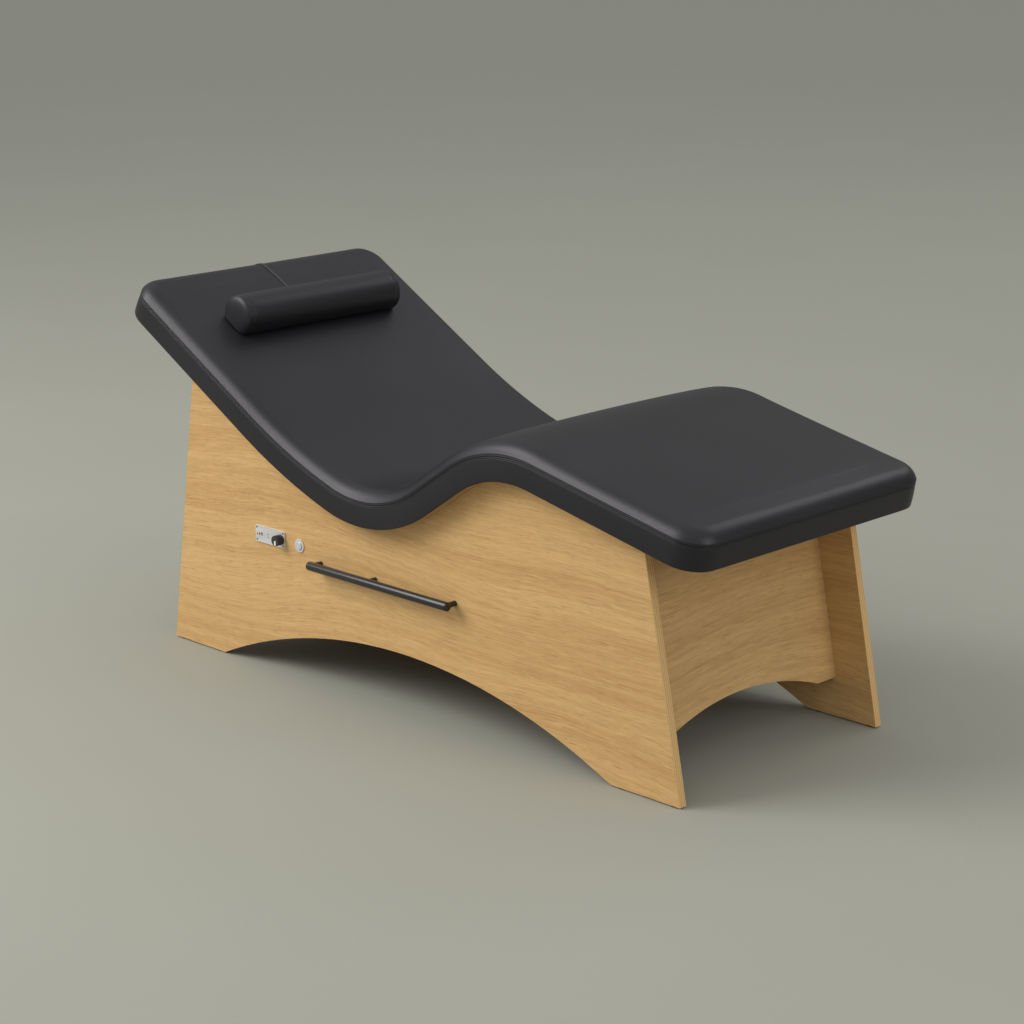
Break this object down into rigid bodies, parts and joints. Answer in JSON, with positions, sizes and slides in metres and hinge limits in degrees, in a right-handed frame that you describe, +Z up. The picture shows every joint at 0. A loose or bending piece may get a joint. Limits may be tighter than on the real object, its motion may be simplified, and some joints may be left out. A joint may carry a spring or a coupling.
{
  "type": "spa relaxation lounger",
  "caption": "Wave-shaped upholstered relaxation lounger with a strapped head bolster on an arched oak base, with a side rail, a heat knob and a push button.",
  "frame": {"origin": "on the floor, under the middle of the bounding box", "axes": "+X from the head end to the foot end, +Z up, and the controls and the rail on the -Y side"},
  "size_m": [1.819, 0.766, 0.8939],
  "materials": {
    "oak_veneer": "oiled oak veneer on plywood, layers showing at the cut edges",
    "beech": "planed beech",
    "birch_board": "bent birch plywood, clear lacquer",
    "zinc_steel": "zinc plated",
    "glide_plastic": "black, matt",
    "foam": "cut polyurethane foam",
    "heater_fleece": "stitched heating fleece",
    "leatherette": "charcoal, fine grain, soft sheen",
    "strap_elastic": "woven elastic",
    "black_metal": "satin black powder coat",
    "silver_plate": "brushed, fine horizontal grain",
    "button_silver": "satin anodised with a turned ring",
    "knob_black": "fine matt, fluted side",
    "pointer_white": "satin",
    "dark_plastic": "moulded, light texture",
    "inlet_black": "moulded, semi-gloss",
    "circuit_green": "solder mask",
    "pin_brass": "bright",
    "cable_black": "matt",
    "clip_white": "moulded nylon"
  },
  "bodies": {
    "base": {"side_panel_near": "oak_veneer", "side_panel_far": "oak_veneer", "end_panel_head": "oak_veneer", "end_panel_foot": "oak_veneer", "corner_blocks_head": "beech", "corner_blocks_foot": "beech", "frame_dowels": "beech", "block_screws": "zinc_steel", "batten_head": "beech", "batten_back": "beech", "batten_seat": "beech", "batten_rise": "beech", "batten_foot": "beech", "batten_brackets": "zinc_steel", "bracket_screws": "zinc_steel", "board_screws": "zinc_steel", "glides": "glide_plastic", "glide_nails": "zinc_steel", "bed_board": "birch_board", "foam_base": "foam", "heating_mat": "heater_fleece", "foam_top": "foam", "cover_top": "leatherette", "cover_band": "leatherette", "bolster_strap": "strap_elastic", "strap_stud": "zinc_steel", "rail_bar": "black_metal", "rail_posts": "black_metal", "rail_bolts": "zinc_steel", "control_plate": "silver_plate", "plate_screws": "silver_plate", "heat_switch": "dark_plastic", "switch_nut": "zinc_steel", "button_bezel": "button_silver", "button_nut": "zinc_steel", "button_switch": "dark_plastic", "control_box": "dark_plastic", "control_box_lid": "dark_plastic", "lid_screws": "zinc_steel", "circuit_board": "circuit_green", "circuit_screws": "zinc_steel", "power_supply": "dark_plastic", "box_screws": "zinc_steel", "mains_inlet": "inlet_black", "inlet_pins": "pin_brass", "inlet_screws": "zinc_steel", "cable_inlet": "cable_black", "cable_supply": "cable_black", "cable_heat_switch": "cable_black", "cable_button": "cable_black", "cable_heater": "cable_black", "cable_clips": "clip_white"},
    "knob": {"heat_knob": "knob_black", "switch_shaft": "zinc_steel", "knob_pointer": "pointer_white"},
    "button": {"button_cap": "button_silver"},
    "bolster": {"bolster_foam": "foam", "bolster_cover": "leatherette", "bolster_piping": "leatherette"}
  },
  "joints": [
    {"name": "heat_knob_turn", "type": "hinge", "parent": "base", "child": "knob", "pos_m": [-0.394, -0.35, 0.332], "axis": [0, 1, 0], "range_deg": [0, 270]},
    {"name": "button_press", "type": "slide", "parent": "base", "child": "button", "axis": [0, 1, 0], "range_m": [0, 0.002], "stiffness_N_per_m": 400, "springref_m": -0.003},
    {"name": "bolster_slide", "type": "slide", "parent": "base", "child": "bolster", "axis": [0.866, 0, -0.5], "range_m": [-0.04, 0.1], "deforming": ["bolster_strap"]}
  ]
}
